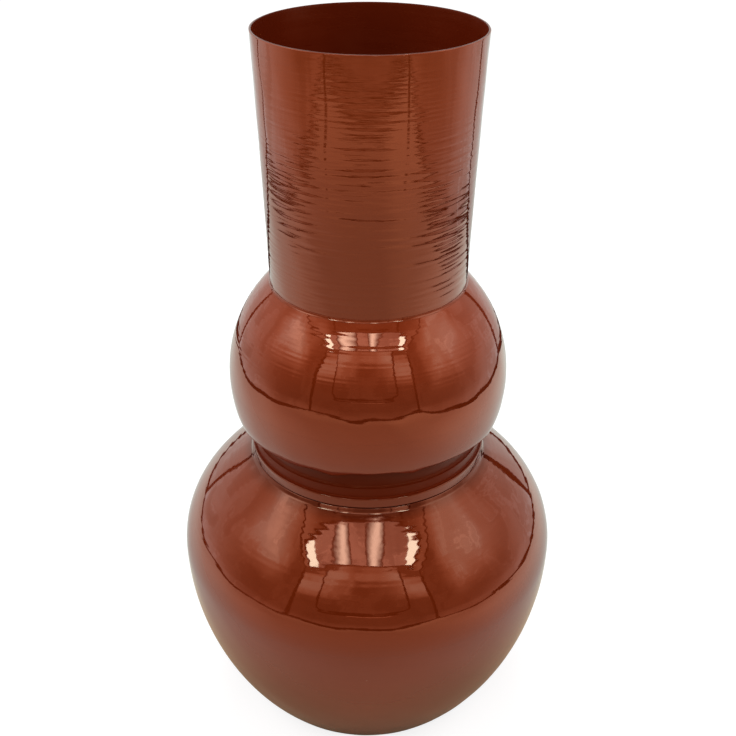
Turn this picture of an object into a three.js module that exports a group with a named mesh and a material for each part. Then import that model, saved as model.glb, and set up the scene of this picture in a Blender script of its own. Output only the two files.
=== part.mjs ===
// A spun-metal vase: a flared neck, a ball, a recessed waist with a stepped collar, and a round body.
// Every piece is turned about the Z axis. Millimetres, Z up, origin at the centre of the foot.
import * as THREE from 'three';

// Sheet metal
const sheetThickness = 1.0;
const seatGap = 0.3;              // room left between two pieces that seat on each other
const seamLap = 5.0;              // how far one half shell reaches inside the other at a seam
const segmentsRound = 40;

// Neck
const overallHeight = 300;
const rimRadius = 42.4;
const rimEdgeRound = 0.3;
const neckFootRadius = 39.3;
const neckHollow = 0.2;           // how far the flare lies inside a straight cone at half height
const neckTail = 5.5;             // how far the neck reaches inside the ball

// Ball
const ballRadius = 57.6;
const ballCutDepth = 14.6;        // from the ball's centre down to its turned-in lower edge
const ballEdgeBend = 0.8;

// Waist
const throatRadius = 47.2;
const throatRootBend = 1.6;
const throatShown = 12.6;         // height of bare throat between the collar and the ball
const throatTail = 3.2;           // how far the throat reaches below the root of the shoulder
const collarSleeve = 4.3;         // height of the collar's upper step
const collarBand = 4.0;           // height of the collar's lower step
const collarEdgeRound = 0.5;

// Body
const bodyRadius = 82.3;
const bodyEquator = 77.1;         // height of the widest ring
const shoulderTop = 125.8;
const shoulderSlope = THREE.MathUtils.degToRad(50);
const shoulderTopReach = 12.6;    // how far the shoulder holds its slope out from the collar
const shoulderSideReach = 26.0;   // how far the side stays upright above the widest ring

// Foot
const footRadius = 55.9;
const footBend = 2.4;
const footRingWidth = 7.5;        // flat ring that the vase stands on
const discLap = 5.0;              // how far the base disc reaches over that ring

// Solder beads
const neckFillet = 1.5;
const seamBead = 2.2;
const collarBead = 1.0;
const throatBead = 1.4;
const baseBead = 1.9;

// Looks
const lacquer = { color: 0x7a3c2a, roughness: 0.16, metalness: 0.0 };
const lacquerInside = { color: 0x5a2415, roughness: 0.35, metalness: 0.0 };

// Places that follow from the sizes above
const bandFoot = shoulderTop + seatGap;
const bandTop = bandFoot + collarBand;
const sleeveTop = bandTop + collarSleeve;
const ballUnderside = sleeveTop + throatShown;
const ballCentre = ballUnderside + ballCutDepth;
const ballInnerRadius = ballRadius - sheetThickness;
const crease = ballCentre + Math.sqrt(ballRadius ** 2 - neckFootRadius ** 2);
const sleeveRadius = throatRadius + seatGap + sheetThickness;
const bandRadius = sleeveRadius + seatGap + sheetThickness;
const innerFootRing = sheetThickness + seatGap;

const at = (radius, height) => new THREE.Vector2(radius, height);

// Points on a circle round (centreRadius, centreHeight); an angle of 0 points away from the axis.
function arc(centreRadius, centreHeight, radius, fromAngle, toAngle, steps) {
  return Array.from({ length: steps + 1 }, (_, i) => {
    const angle = THREE.MathUtils.lerp(fromAngle, toAngle, i / steps);
    return at(centreRadius + radius * Math.cos(angle), centreHeight + radius * Math.sin(angle));
  });
}

// A corner turned over a round, from the entry point towards the next point of the outline.
function bend(entry, corner, next, steps = 2) {
  const reach = entry.distanceTo(corner);
  const exit = corner.clone().add(next.clone().sub(corner).setLength(reach));
  return new THREE.QuadraticBezierCurve(entry, corner, exit).getPoints(steps);
}

// The outline moved to its right by a distance, with mitred corners.
function offsetOutline(outline, distance) {
  const normals = outline.slice(1).map((end, i) => {
    const along = end.clone().sub(outline[i]).normalize();
    return at(along.y, -along.x);
  });
  return outline.map((corner, i) => {
    const before = normals[Math.max(i - 1, 0)];
    const after = normals[Math.min(i, normals.length - 1)];
    const middle = before.clone().add(after).normalize();
    return corner.clone().addScaledVector(middle, distance / middle.dot(before));
  });
}

// The radius of an outline at a height that it passes.
function radiusAt(outline, height) {
  const i = outline.findIndex((end, k) => k > 0 && (end.y - height) * (outline[k - 1].y - height) <= 0);
  const from = outline[i - 1];
  const share = (height - from.y) / (outline[i].y - from.y);
  return THREE.MathUtils.lerp(from.x, outline[i].x, share);
}

// A closed section turned once round the Z axis.
function turned(name, section, look) {
  const ordered = THREE.ShapeUtils.area(section) > 0 ? section : [...section].reverse();
  const geometry = new THREE.LatheGeometry([...ordered, ordered[0].clone()], segmentsRound);
  geometry.rotateX(Math.PI / 2);
  const mesh = new THREE.Mesh(geometry, new THREE.MeshStandardMaterial(look));
  mesh.name = name;
  return mesh;
}

// A spun sheet, from the outline of its outer face, which is given from the top down.
function spunSheet(name, outerFace) {
  return turned(name, [...outerFace, ...offsetOutline(outerFace, sheetThickness).reverse()], lacquer);
}

// A bead of solder in a corner, with a hollow face between the ends of its two legs.
function solderBead(name, corner, firstEnd, secondEnd, look) {
  const hollow = corner.clone().lerp(firstEnd.clone().lerp(secondEnd, 0.5), 0.5);
  const face = new THREE.QuadraticBezierCurve(firstEnd, hollow, secondEnd);
  return turned(name, [corner, ...face.getPoints(3)], look);
}

// The bead inside a seam, on the edge of the lower half and against the wall of the upper half.
function seamSolder(name, upperInnerFace, lipTop) {
  const foot = lipTop + seatGap;
  const wall = radiusAt(upperInnerFace, foot) - seatGap;
  const top = foot + seamBead;
  return solderBead(name, at(wall, foot), at(radiusAt(upperInnerFace, top) - seatGap, top),
    at(wall - sheetThickness - seatGap, foot), lacquerInside);
}

// The stepped upper edge of a lower half shell, which nests inside the upper half.
function nestedLip(upperInnerFace, seam, radiusBelow) {
  const lipRadius = radiusAt(upperInnerFace, seam + seamLap) - seatGap;
  return [at(lipRadius, seam + seamLap), at(lipRadius, seam - seatGap), at(radiusBelow, seam - seatGap)];
}

// Neck: a flared tube whose tail drops through the hole in the ball
function buildNeck() {
  const tailEnd = crease - neckTail;
  const rimInner = rimRadius - sheetThickness;
  const edge = overallHeight - rimEdgeRound;
  const middle = at((neckFootRadius + rimRadius) / 2 - 2 * neckHollow, (crease + edge) / 2);
  const flare = new THREE.QuadraticBezierCurve(at(neckFootRadius, crease), middle, at(rimRadius, edge));
  const outerFace = [at(neckFootRadius, tailEnd), ...flare.getPoints(6)];
  const innerFace = outerFace.map((point) => at(point.x - sheetThickness, point.y));
  const cone = turned('neck_cone', [
    ...outerFace,
    at(rimRadius - rimEdgeRound, overallHeight),
    at(rimInner + rimEdgeRound, overallHeight),
    ...innerFace.reverse(),
  ], lacquer);

  const seatRadius = ballRadius + seatGap;
  const heightOnBall = (radius) => ballCentre + Math.sqrt(seatRadius ** 2 - radius ** 2);
  const corner = at(neckFootRadius + seatGap, heightOnBall(neckFootRadius + seatGap));
  const onNeck = corner.y + neckFillet;
  const onBall = corner.x + neckFillet;
  const fillet = solderBead('neck_foot_solder', corner, at(radiusAt(outerFace, onNeck) + seatGap, onNeck),
    at(onBall, heightOnBall(onBall)), lacquer);
  return [cone, fillet];
}

// Ball: two half shells; the lower one is turned in at its edge and drawn down into the throat
function buildBall() {
  const holeAngle = Math.acos((neckFootRadius + seatGap) / ballInnerRadius);
  const upperFace = arc(0, ballCentre, ballRadius, holeAngle, 0, 8);
  const upperInner = arc(0, ballCentre, ballInnerRadius, holeAngle, 0, 8);
  const upper = spunSheet('bulb_upper_shell', upperFace);

  const seamAngle = -Math.asin(seatGap / ballRadius);
  const edgeAngle = -Math.asin((ballCutDepth - ballEdgeBend) / ballRadius);
  const lowerArc = arc(0, ballCentre, ballRadius, seamAngle, edgeAngle, 4);
  const edgeCorner = at(Math.sqrt(ballRadius ** 2 - ballCutDepth ** 2), ballUnderside);
  const rootCorner = at(throatRadius, ballUnderside);
  const throatEnd = at(throatRadius, shoulderTop - sheetThickness - throatTail);
  const lower = spunSheet('bulb_lower_shell', [
    ...nestedLip(upperInner, ballCentre, lowerArc[0].x).slice(0, 2),
    ...lowerArc.slice(0, -1),
    ...bend(lowerArc.at(-1), edgeCorner, rootCorner),
    ...bend(at(throatRadius + throatRootBend, ballUnderside), rootCorner, throatEnd),
    throatEnd,
  ]);
  return [upper, lower, seamSolder('bulb_seam_solder', upperInner, ballCentre + seamLap)];
}

// Waist: the stepped collar round the throat, and the beads that hold it
function buildWaist() {
  const bandCorner = at(bandRadius, bandTop);
  const bandEnd = at(bandRadius, bandFoot);
  const collar = spunSheet('waist_collar', [
    at(sleeveRadius, sleeveTop),
    at(sleeveRadius, bandTop),
    ...bend(at(bandRadius - collarEdgeRound, bandTop), bandCorner, bandEnd),
    bandEnd,
  ]);

  const throatSeat = throatRadius + seatGap;
  const onSleeve = at(throatSeat, sleeveTop + seatGap);
  const topBead = solderBead('collar_top_solder', onSleeve, at(throatSeat, onSleeve.y + collarBead),
    at(throatSeat + collarBead, onSleeve.y), lacquer);

  const underShoulder = at(throatSeat, shoulderTop - sheetThickness - seatGap);
  const innerBead = solderBead('throat_solder', underShoulder, at(throatSeat, underShoulder.y - throatBead),
    at(throatSeat + throatBead, underShoulder.y), lacquerInside);
  return [collar, topBead, innerBead];
}

// Body: the shoulder with its upturned flange inside the collar, and the bowl down to the foot ring
function buildBody() {
  const collarSide = at(bandRadius, shoulderTop);
  const shoulderCurve = new THREE.CubicBezierCurve(
    collarSide,
    at(collarSide.x + shoulderTopReach * Math.cos(shoulderSlope),
      collarSide.y - shoulderTopReach * Math.sin(shoulderSlope)),
    at(bodyRadius, bodyEquator + shoulderSideReach),
    at(bodyRadius, bodyEquator),
  );
  const shoulderFace = [
    at(sleeveRadius, bandTop - sheetThickness - seatGap),
    at(sleeveRadius, shoulderTop),
    ...shoulderCurve.getPoints(11),
  ];
  const shoulder = spunSheet('body_shoulder_shell', shoulderFace);
  const shoulderInner = offsetOutline(shoulderFace, sheetThickness);

  const drawIn = bodyRadius - footRadius;
  const bowlRadius = (drawIn ** 2 + bodyEquator ** 2) / (2 * drawIn);
  const seamAngle = -Math.asin(seatGap / bowlRadius);
  const footAngle = -Math.asin((bodyEquator - footBend) / bowlRadius);
  const bowlArc = arc(bodyRadius - bowlRadius, bodyEquator, bowlRadius, seamAngle, footAngle, 9);
  const ringEnd = at(footRadius - footBend - footRingWidth, 0);
  const bowl = spunSheet('body_bowl_shell', [
    ...nestedLip(shoulderInner, bodyEquator, bowlArc[0].x).slice(0, 2),
    ...bowlArc.slice(0, -1),
    ...bend(bowlArc.at(-1), at(footRadius, 0), ringEnd, 3),
    ringEnd,
  ]);
  return [shoulder, bowl, seamSolder('body_seam_solder', shoulderInner, bodyEquator + seamLap)];
}

// Base: a flat disc that lies on the foot ring from inside, and the bead round its edge
function buildBase() {
  const discRadius = footRadius - footBend - footRingWidth + discLap;
  const discTop = innerFootRing + sheetThickness;
  const disc = turned('base_disc', [
    at(0, innerFootRing),
    at(discRadius, innerFootRing),
    at(discRadius, discTop),
    at(0, discTop),
  ], lacquerInside);
  const corner = at(discRadius + seatGap, innerFootRing);
  const bead = solderBead('base_solder', corner, at(corner.x, discTop),
    at(corner.x + baseBead, corner.y), lacquerInside);
  return [disc, bead];
}

const vase = new THREE.Group();
for (const build of [buildNeck, buildBall, buildWaist, buildBody, buildBase]) {
  const section = new THREE.Group();
  section.add(...build());
  vase.add(section);
}

export default vase;
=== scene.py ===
"""A rust-brown spun-metal vase in a white cloth light tent.

The vase is a flared neck over a ball, a recessed waist with a stepped collar, and a round body.
Sizes are written in millimetres and become metres where a mesh is made. Z is up, and the origin
is the centre of the foot ring. Every piece is a body of revolution round the Z axis.
"""

import logging
import math
from collections.abc import Callable
from dataclasses import dataclass
from enum import Enum

import bpy
import numpy as np
from bpy.types import Material, Mesh, Node, NodeSocket, NodeTree
from mathutils import Euler, Matrix, Vector


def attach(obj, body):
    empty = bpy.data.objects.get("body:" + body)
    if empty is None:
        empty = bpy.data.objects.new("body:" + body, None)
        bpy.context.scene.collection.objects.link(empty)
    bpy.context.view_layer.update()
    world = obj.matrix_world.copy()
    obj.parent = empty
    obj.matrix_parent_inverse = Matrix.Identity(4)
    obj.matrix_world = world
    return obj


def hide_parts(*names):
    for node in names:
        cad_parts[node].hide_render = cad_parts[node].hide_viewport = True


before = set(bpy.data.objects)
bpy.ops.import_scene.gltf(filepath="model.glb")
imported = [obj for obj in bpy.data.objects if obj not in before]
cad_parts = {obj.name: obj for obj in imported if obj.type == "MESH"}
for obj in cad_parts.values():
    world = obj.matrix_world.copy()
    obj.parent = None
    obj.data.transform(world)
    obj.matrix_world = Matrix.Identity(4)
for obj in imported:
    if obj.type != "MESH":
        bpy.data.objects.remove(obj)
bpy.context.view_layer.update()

MM = 0.001
SAME_POINT = 1e-6
ON_AXIS = 1e-9
SHARP_TURN = 32.0
SHEET = 1.0
LAP_GAP = 0.3
BEAD_LEAN, BEAD_RISE, BEAD_WIDTH = 0.2, 2.2, 1.3
VASE_MIDDLE = Vector((0.0, 0.0, 150.0))

log = logging.getLogger("vase")

# A pair is a point as (radius, height), or the two ends of a run. A path is rows of such points. A
# grid has a row for each of them and a column for each angle. A triple is a place or a colour.
Pair = tuple[float, float] | np.ndarray
Path = np.ndarray | list[Pair]
Grid = np.ndarray
Triple = tuple[float, float, float]


class Slot(Enum):
    """The record's material slots."""

    LACQUER = "rust_lacquer"
    INSIDE = "inside_lacquer"


class Rays(Enum):
    """Which rays meet a stage panel."""

    ALL = "all"
    REFLECTED = "reflected"


# Outlines in the (radius, height) plane


def line(start: Pair, end: Pair, count: int) -> Path:
    """Even steps along a straight line.

    Args:
        start: The first (radius, height).
        end: The last (radius, height).
        count: How many points.

    Returns:
        The points, count rows of two.
    """
    share = np.linspace(0.0, 1.0, count)[:, None]
    return np.array(start, float) * (1.0 - share) + np.array(end, float) * share


def arc(centre: Pair, radius: float, start: float, end: float, count: int) -> Path:
    """A circular arc: the centre plus the radius times (cosine, sine) of an even run of angles.

    Args:
        centre: The circle's centre as (radius, height).
        radius: The circle's own radius.
        start: The first angle in degrees, 0 pointing away from the axis.
        end: The last angle in degrees.
        count: How many points.

    Returns:
        The points, count rows of two.
    """
    angle = np.radians(np.linspace(start, end, count))
    return np.stack([centre[0] + radius * np.cos(angle), centre[1] + radius * np.sin(angle)], axis=1)


def curve(controls: list[Pair], count: int) -> Path:
    """A Bezier curve: each control point weighted by its Bernstein polynomial.

    Args:
        controls: The control points.
        count: How many points to work out.

    Returns:
        The points, count rows of two.
    """
    points = np.array(controls, float)
    degree = len(points) - 1
    share = np.linspace(0.0, 1.0, count)[:, None]
    order = np.arange(degree + 1)[None, :]
    binomial = np.array([math.comb(degree, k) for k in range(degree + 1)], float)
    weights = binomial * share ** order * (1.0 - share) ** (degree - order)
    return weights @ points


def rounded(before: Pair, corner: Pair, after: Pair, reach: float, count: int = 7) -> Path:
    """A corner turned over a round: a quadratic curve that leaves each side at a given reach.

    Args:
        before: A point on the side that comes in.
        corner: The sharp corner.
        after: A point on the side that goes out.
        reach: How far from the corner the round starts and ends.
        count: How many points.

    Returns:
        The points of the round.
    """
    tip = np.array(corner, float)
    sides = [np.array(side, float) - tip for side in (before, after)]
    first, last = (tip + reach * side / np.linalg.norm(side) for side in sides)
    return curve([first, tip, last], count)


def joined(*parts: Path) -> Path:
    """Paths end to end, with points that fall on the one before left out.

    Args:
        *parts: The paths, in order.

    Returns:
        One path.
    """
    points = np.vstack(parts)
    step = np.linalg.norm(np.diff(points, axis=0), axis=1)
    return points[np.concatenate([[True], step > SAME_POINT])]


def beyond(path: Path, reach: float) -> Path:
    """The path from where it is further than a reach from its first point."""
    return path[np.argmax(np.linalg.norm(path - path[0], axis=1) > reach):]


def downhill(slope: float) -> Pair:
    """The unit vector outward and down at a slope in degrees: its cosine and minus its sine."""
    angle = math.radians(slope)
    return np.array([math.cos(angle), -math.sin(angle)])


def path_normals(path: Path) -> Path:
    """Unit normals to the right of a path, from central differences of its points.

    Args:
        path: The path.

    Returns:
        A normal for each point.
    """
    along = np.gradient(path, axis=0)
    along /= np.linalg.norm(along, axis=1, keepdims=True)
    return np.stack([along[:, 1], -along[:, 0]], axis=1)


def offset(path: Path, distance: float) -> Path:
    """The path moved to its right by a distance."""
    return path + distance * path_normals(path)


# Shapes of revolution


class Coat(Enum):
    """Which of a piece's finishes a row carries."""

    OUTER = 0
    INNER = 1
    RECESS = 2


@dataclass(frozen=True)
class Relief:
    """Shallow unevenness of a spun sheet, as a sum of seeded waves in angle and height.

    Each wave is depth times the sine of (turns times the angle, plus height over its pitch, plus a
    phase). A streaky wave also fades in and out round the piece, so that it runs for a short way.
    Its lean moves the fade round with height, and its wander bends it up and down. The swell gives
    the share of the depth at some heights, and runs straight between them.
    """

    seed: int
    waves: int
    depth: float
    pitch: Pair
    turns: tuple[int, int]
    streaky: bool = False
    swell: tuple[Pair, ...] = ((0.0, 1.0), (300.0, 1.0))
    lean: float = 0.05
    wander: float = 0.5
    crest_share: float = 2.2

    @property
    def crest(self) -> float:
        """A height that the waves together hardly ever pass."""
        most = max(share for _, share in self.swell)
        return self.crest_share * self.depth * math.sqrt(self.waves) * most

    def height(self, angle: Grid, height: Grid) -> Grid:
        """The relief over a grid.

        Args:
            angle: Angles round the axis in radians.
            height: Heights in millimetres, of the same shape.

        Returns:
            Distances outward in millimetres.
        """
        rng = np.random.default_rng(self.seed)
        total = np.zeros(np.broadcast(angle, height).shape)
        for _ in range(self.waves):
            pitch = rng.uniform(*self.pitch)
            turns = int(rng.integers(*self.turns))
            phase, drift, fade = rng.uniform(0.0, 2.0 * math.pi, 3)
            if self.streaky:
                envelope = np.clip(np.sin(turns * angle + fade + self.lean * height), 0.0, 1.0)
                bent = phase + self.wander * np.sin(2 * angle + drift)
                total += self.depth * envelope * np.sin(2 * math.pi * height / pitch + bent)
            else:
                total += self.depth * np.sin(turns * angle + 2 * math.pi * height / pitch + phase)
        return total * np.interp(height, *np.array(self.swell).T)


SHEET_WAVER = Relief(seed=11, waves=14, depth=0.0085, pitch=(14.0, 60.0), turns=(4, 26))
NECK_RIDGES = Relief(seed=5, waves=30, depth=0.0056, pitch=(1.3, 4.0), turns=(2, 9), streaky=True,
                     swell=((200.0, 0.8), (215.0, 1.4), (256.0, 1.4), (272.0, 0.5), (300.0, 0.4)))
BALL_RINGS = Relief(seed=29, waves=14, depth=0.0016, pitch=(1.2, 3.4), turns=(0, 5),
                    swell=((150.0, 0.15), (176.0, 0.25), (187.0, 1.6), (204.0, 1.2)))
BODY_RINGS = Relief(seed=23, waves=14, depth=0.0014, pitch=(1.3, 3.6), turns=(0, 5),
                    swell=((40.0, 0.3), (92.0, 0.4), (106.0, 1.0), (126.0, 1.0)))


@dataclass
class TurnedPiece:
    """A closed outline turned once round the Z axis.

    The outline is made of stretches with one coat each, and runs with its solid on the left, so the
    faces point outward. The grid has a row for each point of the outline and a column for each step
    of the angle. A point is (radius times cosine, radius times sine, height). Points on the axis
    become one vertex each. Relief lies on the outer coat, below the outline, and that coat is then
    one stretch.
    """

    name: str
    stretches: tuple[tuple[Path, Coat], ...]
    slot: Slot
    replaces: tuple[str, ...]
    columns: int = 256
    relief: tuple[Relief, ...] = ()
    reshape: Callable[[Grid, Grid, Grid], tuple[Grid, Grid]] | None = None
    still_foot: float = 2.0

    def build(self, *finishes: Material) -> None:
        """Makes the mesh, dresses it and seats it on the frame.

        Args:
            *finishes: The material of each coat, or one material for all of them.
        """
        outline, coats = self._anticlockwise()
        rows = len(outline)
        on_axis = outline[:, 0] < ON_AXIS
        angle = np.linspace(0.0, 2.0 * math.pi, self.columns, endpoint=False)
        radius = np.repeat(outline[:, :1], self.columns, axis=1)
        height = np.repeat(outline[:, 1:], self.columns, axis=1)
        grid_angle = np.repeat(angle[None, :], rows, axis=0)
        if self.reshape is not None:
            radius, height = self.reshape(radius, height, grid_angle)
        if self.relief:
            outer = coats == Coat.OUTER.value
            normals = path_normals(outline[outer])
            lift = sum(relief.height(grid_angle[outer], height[outer]) - relief.crest
                       for relief in self.relief)
            lift = np.minimum(lift, 0.0) * np.clip(height[outer] / self.still_foot, 0.0, 1.0)
            radius[outer] += lift * normals[:, :1]
            height[outer] += lift * normals[:, 1:]
        points = np.stack([radius * np.cos(grid_angle), radius * np.sin(grid_angle), height], axis=2)
        mesh = bpy.data.meshes.new(self.name)
        self._fill(mesh, points.reshape(-1, 3) * MM, rows, on_axis)
        piece = bpy.data.objects.new(self.name, mesh)
        bpy.context.scene.collection.objects.link(piece)
        for finish in finishes:
            mesh.materials.append(finish)
        self._mark(mesh, outline, coats, len(finishes))
        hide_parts(*self.replaces)
        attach(piece, "root")
        log.info("%s: %d faces", self.name, len(mesh.polygons))

    def _anticlockwise(self) -> tuple[Path, np.ndarray]:
        """The outline with its solid on the left, and the coat of each row.

        Returns:
            The outline and the coats.
        """
        outline = np.vstack([path for path, _ in self.stretches])
        coats = np.concatenate([np.full(len(path), coat.value) for path, coat in self.stretches])
        radius, height = outline.T
        area = np.sum(radius * np.roll(height, -1) - np.roll(radius, -1) * height)
        return (outline, coats) if area > 0 else (outline[::-1], coats[::-1])

    def _fill(self, mesh: Mesh, points: np.ndarray, rows: int, on_axis: np.ndarray) -> None:
        """Puts the grid into the mesh, with four corners to a face away from the axis.

        Args:
            mesh: The empty mesh.
            points: One vertex for each row and column.
            rows: How many rows.
            on_axis: Which rows lie on the axis.
        """
        row = np.arange(rows)[:, None]
        column = np.arange(self.columns)[None, :]
        nearer = row * self.columns + column
        nearer = np.where(on_axis[:, None], row * self.columns, nearer)
        further = np.roll(nearer, -1, axis=1)
        quads = np.stack([nearer, further, np.roll(further, -1, axis=0), np.roll(nearer, -1, axis=0)],
                         axis=2)
        both = on_axis & np.roll(on_axis, -1)
        quads = quads[~both].reshape(-1, 4)
        first_pole = quads[:, 0] == quads[:, 1]
        last_pole = quads[:, 2] == quads[:, 3]
        faces = quads[~first_pole & ~last_pole].tolist()
        faces += quads[first_pole][:, 1:].tolist() + quads[last_pole][:, :3].tolist()
        mesh.from_pydata(points.tolist(), [], faces)
        mesh.update()

    def _mark(self, mesh: Mesh, outline: Path, coats: np.ndarray, finishes: int) -> None:
        """Smooths the faces, keeps sharp corners of the outline sharp and deals out the finishes.

        A face between rows of two coats takes the later one.

        Args:
            mesh: The filled mesh.
            outline: The outline that was turned.
            coats: The coat of each row.
            finishes: How many finishes the piece has.
        """
        mesh.polygons.foreach_set("use_smooth", np.ones(len(mesh.polygons), bool))
        along = np.roll(outline, -1, axis=0) - outline
        along /= np.linalg.norm(along, axis=1, keepdims=True)
        turn = np.sum(along * np.roll(along, 1, axis=0), axis=1)
        sharp_row = turn < math.cos(math.radians(SHARP_TURN))
        ends = np.zeros(len(mesh.edges) * 2, np.int32)
        mesh.edges.foreach_get("vertices", ends)
        edge_rows = ends.reshape(-1, 2) // self.columns
        sharp = (edge_rows[:, 0] == edge_rows[:, 1]) & sharp_row[edge_rows[:, 0]]
        mesh.attributes.new("sharp_edge", "BOOLEAN", "EDGE").data.foreach_set("value", sharp)
        if finishes > 1:
            starts = np.zeros(len(mesh.polygons), np.int32)
            mesh.polygons.foreach_get("loop_start", starts)
            corners = np.zeros(len(mesh.loops), np.int32)
            mesh.loops.foreach_get("vertex_index", corners)
            face_row = corners[starts] // self.columns
            coat = np.maximum(coats[face_row], np.roll(coats, -1)[face_row])
            mesh.polygons.foreach_set("material_index", coat.astype(np.int32))
        if mesh.validate():
            log.warning("%s had faulty faces", self.name)


# Materials


class Wiring:
    """Adds nodes to one node tree and joins their sockets."""

    def __init__(self, tree: NodeTree) -> None:
        """Starts from an empty tree."""
        self.tree = tree
        tree.nodes.clear()

    def node(self, kind: str, inputs: dict | None = None, **settings: object) -> Node:
        """Adds a node.

        Args:
            kind: The node's type.
            inputs: Values or sockets for its inputs, by name or number.
            **settings: Attributes of the node.

        Returns:
            The node.
        """
        made = self.tree.nodes.new(kind)
        for key, value in settings.items():
            setattr(made, key, value)
        for key, value in (inputs or {}).items():
            if isinstance(value, NodeSocket):
                self.tree.links.new(value, made.inputs[key])
            else:
                made.inputs[key].default_value = value
        return made

    def link(self, socket: NodeSocket, node: Node, name: str) -> None:
        """Joins a socket to an input of a node."""
        self.tree.links.new(socket, node.inputs[name])

    def surface(self, shader: NodeSocket) -> None:
        """Ends a material with a shader."""
        self.node("ShaderNodeOutputMaterial", {"Surface": shader})

    def place(self) -> NodeSocket:
        """The place on the object, in metres."""
        return self.node("ShaderNodeTexCoord").outputs["Object"]

    def axes(self, place: NodeSocket) -> tuple[NodeSocket, ...]:
        """The X, Y and Z of a place."""
        return tuple(self.node("ShaderNodeSeparateXYZ", {0: place}).outputs)

    def math(self, operation: str, *values: object) -> NodeSocket:
        """One arithmetic step on numbers or sockets."""
        return self.node("ShaderNodeMath", dict(enumerate(values)), operation=operation).outputs[0]

    def noise(self, place: NodeSocket, scale: object, detail: float, **more: float) -> NodeSocket:
        """Noise at a place."""
        inputs = {"Vector": place, "Scale": scale, "Detail": detail, **more}
        return self.node("ShaderNodeTexNoise", inputs).outputs[0]

    def squeezed(self, place: NodeSocket, across: object, upward: object) -> NodeSocket:
        """A place with one scale round the piece and another one in height.

        Args:
            place: The place.
            across: The scale along X and Y.
            upward: The scale along Z.

        Returns:
            The scaled place.
        """
        scale = self.node("ShaderNodeCombineXYZ", {"X": across, "Y": across, "Z": upward})
        return self.node("ShaderNodeVectorMath", {0: place, 1: scale.outputs[0]},
                         operation="MULTIPLY").outputs[0]

    def bump(self, height: NodeSocket, depth: float, **more: NodeSocket) -> NodeSocket:
        """The normal of a height that is so many millimetres deep."""
        inputs = {"Height": height, "Distance": depth * MM, "Strength": 1.0, **more}
        return self.node("ShaderNodeBump", inputs).outputs[0]

    def ramp(self, value: NodeSocket, low: float, high: float,
             to_low: float = 0.0, to_high: float = 1.0) -> NodeSocket:
        """A value taken smoothly from one range to another.

        Args:
            value: The value.
            low: Where the change starts.
            high: Where it ends.
            to_low: The result up to the start.
            to_high: The result from the end on.

        Returns:
            The result.
        """
        return self.node("ShaderNodeMapRange", {"Value": value, "From Min": low, "From Max": high,
                                                "To Min": to_low, "To Max": to_high},
                         interpolation_type="SMOOTHSTEP").outputs[0]

    def run(self, value: NodeSocket, ends: Pair, to_low: float = 0.0, to_high: float = 1.0) -> NodeSocket:
        """The same between two places in millimetres."""
        return self.ramp(value, ends[0] * MM, ends[1] * MM, to_low, to_high)

    def blend(self, share: NodeSocket, first: object, second: object, kind: str = "MIX") -> NodeSocket:
        """Two colours, each plain or from a socket, mixed by a share.

        Args:
            share: How much of the second colour there is.
            first: The colour at a share of nought.
            second: The colour at a share of one.
            kind: The node's way of mixing.

        Returns:
            The mixed colour.
        """
        mix = self.node("ShaderNodeMix", {0: share}, data_type="RGBA", blend_type=kind)
        for number, colour in ((6, first), (7, second)):
            if isinstance(colour, NodeSocket):
                self.tree.links.new(colour, mix.inputs[number])
            else:
                mix.inputs[number].default_value = (*colour, 1.0)
        return mix.outputs[2]


def new_material(name: str) -> tuple[Material, Wiring]:
    """A material without nodes, and its wiring.

    Args:
        name: The material's name.

    Returns:
        The material and its wiring.
    """
    made = bpy.data.materials.new(name)
    made.use_nodes = True
    return made, Wiring(made.node_tree)


@dataclass(frozen=True)
class Effect:
    """A shader node group: its name, its number inputs with their usual values, and its outputs."""

    name: str
    inputs: tuple[tuple[str, float], ...]
    outputs: tuple[tuple[str, str], ...]

    def start(self) -> tuple[NodeTree, Wiring, Node, Node]:
        """Makes the empty group with its sockets.

        Returns:
            The group, its wiring, its input node and its output node.
        """
        tree = bpy.data.node_groups.new(self.name, "ShaderNodeTree")
        tree.interface.new_socket("Place", in_out="INPUT", socket_type="NodeSocketVector")
        for name, value in self.inputs:
            number = tree.interface.new_socket(name, in_out="INPUT", socket_type="NodeSocketFloat")
            number.default_value = value
        for name, kind in self.outputs:
            tree.interface.new_socket(name, in_out="OUTPUT", socket_type=kind)
        wires = Wiring(tree)
        return tree, wires, wires.node("NodeGroupInput"), wires.node("NodeGroupOutput")


def spun_streaks() -> NodeTree:
    """Fine ridges from the spinning tool: noise stretched round the piece and squeezed in height.

    Returns:
        The group, which puts out a height.
    """
    effect = Effect("spun_streaks", (("Across", 70.0), ("Upward", 1500.0)),
                    (("Height", "NodeSocketFloat"),))
    tree, wires, start, end = effect.start()
    given = start.outputs
    place = wires.squeezed(given["Place"], given["Across"], given["Upward"])
    wires.link(wires.noise(place, 1.0, 2.0, Roughness=0.6), end, "Height")
    return tree


def orange_peel() -> NodeTree:
    """The soft pebbling of sprayed lacquer: two sizes of noise added together.

    Returns:
        The group, which puts out a height.
    """
    effect = Effect("orange_peel", (("Grain", 330.0), ("Swell", 75.0), ("Swell Share", 0.7)),
                    (("Height", "NodeSocketFloat"),))
    tree, wires, start, end = effect.start()
    given = start.outputs
    fine = wires.noise(given["Place"], given["Grain"], 1.0)
    broad = wires.noise(given["Place"], given["Swell"], 1.0)
    wires.link(wires.math("MULTIPLY_ADD", broad, given["Swell Share"], fine), end, "Height")
    return tree


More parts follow.
